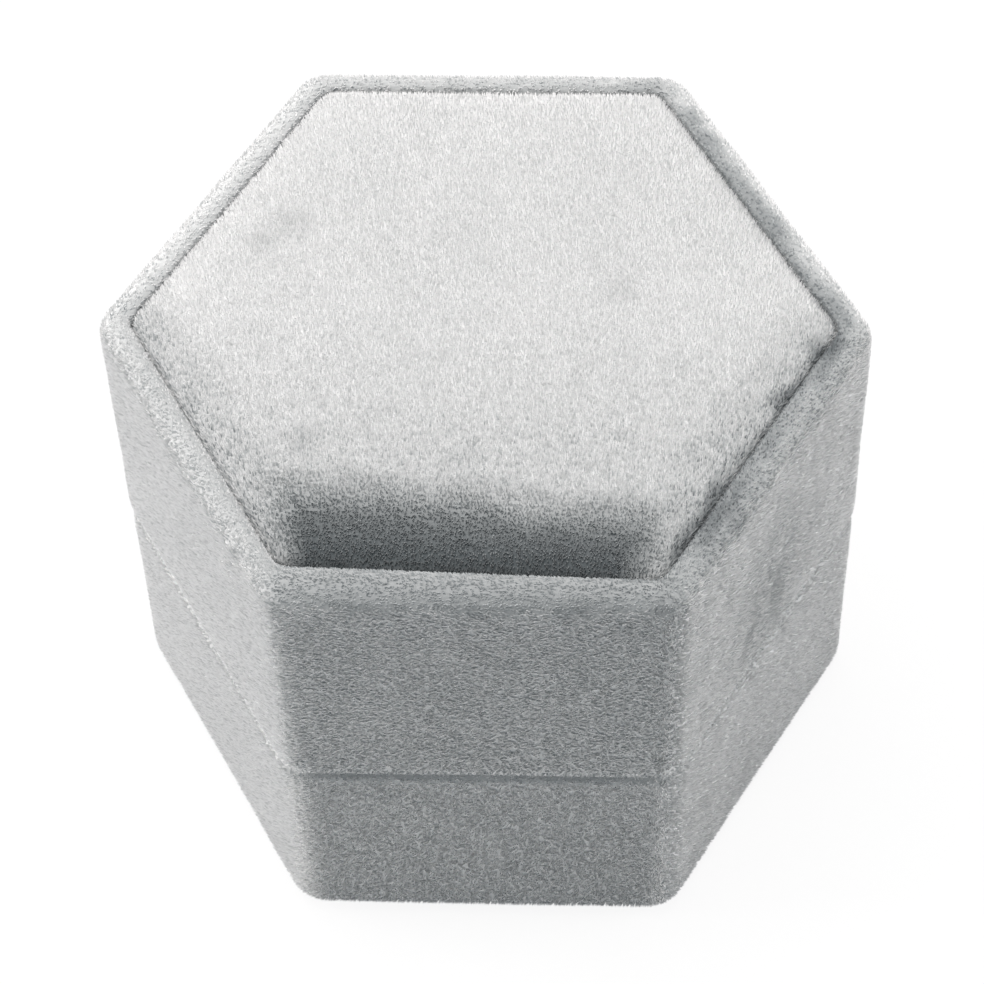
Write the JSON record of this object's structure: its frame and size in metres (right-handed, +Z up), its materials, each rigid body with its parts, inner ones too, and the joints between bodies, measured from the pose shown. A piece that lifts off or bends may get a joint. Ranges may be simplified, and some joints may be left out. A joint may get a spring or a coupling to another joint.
{
  "type": "velvet ring box",
  "caption": "Hexagonal velvet-covered ring box with a crowned padded top, a deep lift-off lid over an inner collar, and a slotted ring insert.",
  "frame": {"origin": "middle of the underside, on the surface that the box stands on", "axes": "+Z up through the middle of the lid, -Y out of the front flat side, +X through the right-hand corner"},
  "size_m": [0.0546, 0.048, 0.0435],
  "materials": {
    "grey_velvet": "matte",
    "lining_velvet": "matte",
    "grey_board": "matte",
    "white_foam": "matte"
  },
  "bodies": {
    "base": {"base_wall_board": "grey_board", "base_bottom_board": "grey_board", "base_wall_velvet": "grey_velvet", "base_underside_velvet": "grey_velvet", "neck_board": "grey_board", "neck_velvet": "grey_velvet", "insert_riser_foam": "white_foam", "insert_board": "grey_board", "ring_roll_front_foam": "white_foam", "ring_roll_front_velvet": "grey_velvet", "ring_roll_middle_foam": "white_foam", "ring_roll_middle_velvet": "grey_velvet", "ring_roll_rear_foam": "white_foam", "ring_roll_rear_velvet": "grey_velvet"},
    "lid": {"lid_wall_board": "grey_board", "lid_top_board": "grey_board", "lid_wall_velvet": "grey_velvet", "lid_wall_lining": "lining_velvet", "lid_pad_board": "grey_board", "lid_pad_foam": "white_foam", "lid_pad_velvet": "grey_velvet", "lid_ceiling_board": "grey_board", "lid_ceiling_foam": "white_foam", "lid_ceiling_velvet": "lining_velvet"}
  },
  "joints": [
    {"name": "lid_lift", "type": "slide", "parent": "base", "child": "lid", "axis": [0, 0, 1], "range_m": [0, 0.045]}
  ]
}
